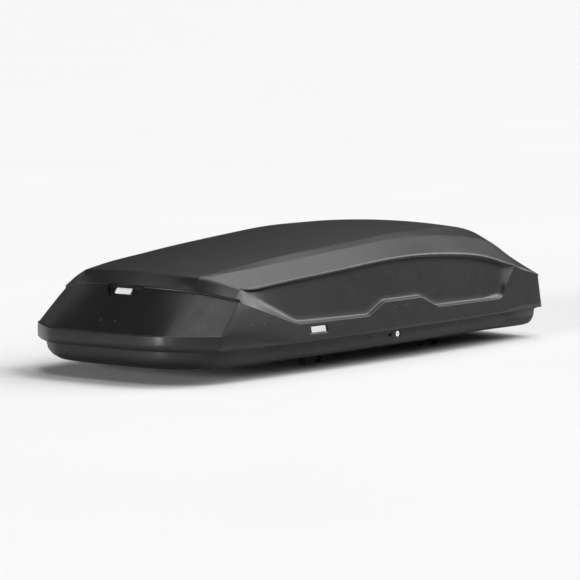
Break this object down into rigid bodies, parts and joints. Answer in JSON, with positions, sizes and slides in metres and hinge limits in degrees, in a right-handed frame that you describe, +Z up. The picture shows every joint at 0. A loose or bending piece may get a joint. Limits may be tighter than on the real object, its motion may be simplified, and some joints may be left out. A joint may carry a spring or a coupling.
{
  "type": "roof cargo box",
  "caption": "Hard-shell vehicle roof cargo box with a lid that opens from either side, sliding locks and bar clamps under the floor.",
  "frame": {"origin": "centre of the underside pad that rests on the roof bars, at mid length of the lid", "axes": "+Z up, +Y towards the tail, -Y towards the nose in the direction of travel, +X towards the vehicle's left side"},
  "size_m": [0.8438, 1.892, 0.402],
  "materials": {
    "base_abs": "fine-grained black thermoformed ABS",
    "lid_abs": "matte black thermoformed ABS with a leather-like grain",
    "rivet": "black-coated dome rivets",
    "badge": "blank light grey plate",
    "black_plastic": "injection-moulded black nylon",
    "zinc_steel": "zinc-plated steel",
    "rail_aluminium": "mill-finish aluminium",
    "key_chrome": "chromed key barrel",
    "clamp_plastic": "glass-filled black nylon",
    "knob_plastic": "soft dark grey knob",
    "jaw_rubber": "rubber-coated jaw",
    "webbing": "woven polyester webbing"
  },
  "bodies": {
    "base": {"base_shell": "base_abs", "strap_buckles": "black_plastic", "strap_anchors": "black_plastic", "front_load_strap": "webbing", "rear_load_strap": "webbing", "left_hinge_brackets": "zinc_steel", "left_hinge_pins": "zinc_steel", "left_bracket_screws": "zinc_steel", "left_torsion_springs": "zinc_steel", "left_base_rail": "rail_aluminium", "left_lock_housing": "black_plastic", "right_hinge_brackets": "zinc_steel", "right_hinge_pins": "zinc_steel", "right_bracket_screws": "zinc_steel", "right_torsion_springs": "zinc_steel", "right_base_rail": "rail_aluminium", "right_lock_housing": "black_plastic"},
    "lid": {"lid_shell": "lid_abs", "lid_rivets": "rivet", "rear_badge": "badge", "rear_lid_guide": "black_plastic", "left_side_badge": "badge", "left_strikers": "zinc_steel", "left_lid_stiffener": "rail_aluminium", "right_side_badge": "badge", "right_strikers": "zinc_steel", "right_lid_stiffener": "rail_aluminium"},
    "left_claws": {"left_claws": "black_plastic"},
    "left_lock": {"left_lock_slider": "black_plastic", "left_lock_rail": "zinc_steel"},
    "left_key": {"left_key_cylinder": "key_chrome"},
    "right_claws": {"right_claws": "black_plastic"},
    "right_lock": {"right_lock_slider": "black_plastic", "right_lock_rail": "zinc_steel"},
    "right_key": {"right_key_cylinder": "key_chrome"},
    "front_left_clamp": {"front_left_clamp_housing": "clamp_plastic"},
    "front_left_knob": {"front_left_clamp_knob": "knob_plastic"},
    "front_left_front_jaw": {"front_left_clamp_front_jaw": "jaw_rubber"},
    "front_left_rear_jaw": {"front_left_clamp_rear_jaw": "jaw_rubber"},
    "front_right_clamp": {"front_right_clamp_housing": "clamp_plastic"},
    "front_right_knob": {"front_right_clamp_knob": "knob_plastic"},
    "front_right_front_jaw": {"front_right_clamp_front_jaw": "jaw_rubber"},
    "front_right_rear_jaw": {"front_right_clamp_rear_jaw": "jaw_rubber"},
    "rear_left_clamp": {"rear_left_clamp_housing": "clamp_plastic"},
    "rear_left_knob": {"rear_left_clamp_knob": "knob_plastic"},
    "rear_left_front_jaw": {"rear_left_clamp_front_jaw": "jaw_rubber"},
    "rear_left_rear_jaw": {"rear_left_clamp_rear_jaw": "jaw_rubber"},
    "rear_right_clamp": {"rear_right_clamp_housing": "clamp_plastic"},
    "rear_right_knob": {"rear_right_clamp_knob": "knob_plastic"},
    "rear_right_front_jaw": {"rear_right_clamp_front_jaw": "jaw_rubber"},
    "rear_right_rear_jaw": {"rear_right_clamp_rear_jaw": "jaw_rubber"}
  },
  "joints": [
    {"name": "lid_open_right", "type": "hinge", "parent": "base", "child": "left_claws", "pos_m": [0.358, 0, 0.076], "axis": [0, 1, 0], "range_deg": [0, 50]},
    {"name": "lid_open_left", "type": "hinge", "parent": "left_claws", "child": "lid", "pos_m": [-0.358, 0, 0.076], "axis": [0, 1, 0], "range_deg": [-50, 0]},
    {"name": "right_claws_swing", "type": "hinge", "parent": "base", "child": "right_claws", "pos_m": [-0.358, 0, 0.076], "axis": [0, 1, 0], "range_deg": [-50, 0]},
    {"name": "left_lock_slide", "type": "slide", "parent": "base", "child": "left_lock", "axis": [0, 1, 0], "range_m": [0, 0.02]},
    {"name": "left_key_turn", "type": "hinge", "parent": "base", "child": "left_key", "pos_m": [0.376, -0.06, 0.043], "axis": [1, 0, 0], "range_deg": [0, 90]},
    {"name": "right_lock_slide", "type": "slide", "parent": "base", "child": "right_lock", "axis": [0, 1, 0], "range_m": [0, 0.02]},
    {"name": "right_key_turn", "type": "hinge", "parent": "base", "child": "right_key", "pos_m": [-0.376, -0.06, 0.043], "axis": [1, 0, 0], "range_deg": [0, 90]},
    {"name": "front_left_clamp_slide", "type": "slide", "parent": "base", "child": "front_left_clamp", "axis": [0, 1, 0], "range_m": [-0.1, 0.1]},
    {"name": "front_left_knob_turn", "type": "hinge", "parent": "front_left_clamp", "child": "front_left_knob", "pos_m": [0.25, -0.42, 0.04], "axis": [0, 0, 1], "range_deg": [0, 1080]},
    {"name": "front_left_rear_jaw_swing", "type": "hinge", "parent": "front_left_clamp", "child": "front_left_rear_jaw", "pos_m": [0.25, -0.372, -0.008], "axis": [1, 0, 0], "range_deg": [0, 18]},
    {"name": "front_left_front_jaw_swing", "type": "hinge", "parent": "front_left_clamp", "child": "front_left_front_jaw", "pos_m": [0.25, -0.468, -0.008], "axis": [1, 0, 0], "range_deg": [-18, 0]},
    {"name": "front_right_clamp_slide", "type": "slide", "parent": "base", "child": "front_right_clamp", "axis": [0, 1, 0], "range_m": [-0.1, 0.1]},
    {"name": "front_right_knob_turn", "type": "hinge", "parent": "front_right_clamp", "child": "front_right_knob", "pos_m": [-0.25, -0.42, 0.04], "axis": [0, 0, 1], "range_deg": [0, 1080]},
    {"name": "front_right_rear_jaw_swing", "type": "hinge", "parent": "front_right_clamp", "child": "front_right_rear_jaw", "pos_m": [-0.25, -0.372, -0.008], "axis": [1, 0, 0], "range_deg": [0, 18]},
    {"name": "front_right_front_jaw_swing", "type": "hinge", "parent": "front_right_clamp", "child": "front_right_front_jaw", "pos_m": [-0.25, -0.468, -0.008], "axis": [1, 0, 0], "range_deg": [-18, 0]},
    {"name": "rear_left_clamp_slide", "type": "slide", "parent": "base", "child": "rear_left_clamp", "axis": [0, 1, 0], "range_m": [-0.1, 0.1]},
    {"name": "rear_left_knob_turn", "type": "hinge", "parent": "rear_left_clamp", "child": "rear_left_knob", "pos_m": [0.25, 0.22, 0.04], "axis": [0, 0, 1], "range_deg": [0, 1080]},
    {"name": "rear_left_rear_jaw_swing", "type": "hinge", "parent": "rear_left_clamp", "child": "rear_left_rear_jaw", "pos_m": [0.25, 0.268, -0.008], "axis": [1, 0, 0], "range_deg": [0, 18]},
    {"name": "rear_left_front_jaw_swing", "type": "hinge", "parent": "rear_left_clamp", "child": "rear_left_front_jaw", "pos_m": [0.25, 0.172, -0.008], "axis": [1, 0, 0], "range_deg": [-18, 0]},
    {"name": "rear_right_clamp_slide", "type": "slide", "parent": "base", "child": "rear_right_clamp", "axis": [0, 1, 0], "range_m": [-0.1, 0.1]},
    {"name": "rear_right_knob_turn", "type": "hinge", "parent": "rear_right_clamp", "child": "rear_right_knob", "pos_m": [-0.25, 0.22, 0.04], "axis": [0, 0, 1], "range_deg": [0, 1080]},
    {"name": "rear_right_rear_jaw_swing", "type": "hinge", "parent": "rear_right_clamp", "child": "rear_right_rear_jaw", "pos_m": [-0.25, 0.268, -0.008], "axis": [1, 0, 0], "range_deg": [0, 18]},
    {"name": "rear_right_front_jaw_swing", "type": "hinge", "parent": "rear_right_clamp", "child": "rear_right_front_jaw", "pos_m": [-0.25, 0.172, -0.008], "axis": [1, 0, 0], "range_deg": [-18, 0]}
  ],
  "couplings": [
    {"joint": "right_claws_swing", "follows": "lid_open_left", "ratio": 1},
    {"joint": "front_left_rear_jaw_swing", "follows": "front_left_knob_turn", "ratio": 0.016666},
    {"joint": "front_left_front_jaw_swing", "follows": "front_left_knob_turn", "ratio": -0.016666},
    {"joint": "front_right_rear_jaw_swing", "follows": "front_right_knob_turn", "ratio": 0.016666},
    {"joint": "front_right_front_jaw_swing", "follows": "front_right_knob_turn", "ratio": -0.016666},
    {"joint": "rear_left_rear_jaw_swing", "follows": "rear_left_knob_turn", "ratio": 0.016666},
    {"joint": "rear_left_front_jaw_swing", "follows": "rear_left_knob_turn", "ratio": -0.016666},
    {"joint": "rear_right_rear_jaw_swing", "follows": "rear_right_knob_turn", "ratio": 0.016666},
    {"joint": "rear_right_front_jaw_swing", "follows": "rear_right_knob_turn", "ratio": -0.016666}
  ]
}
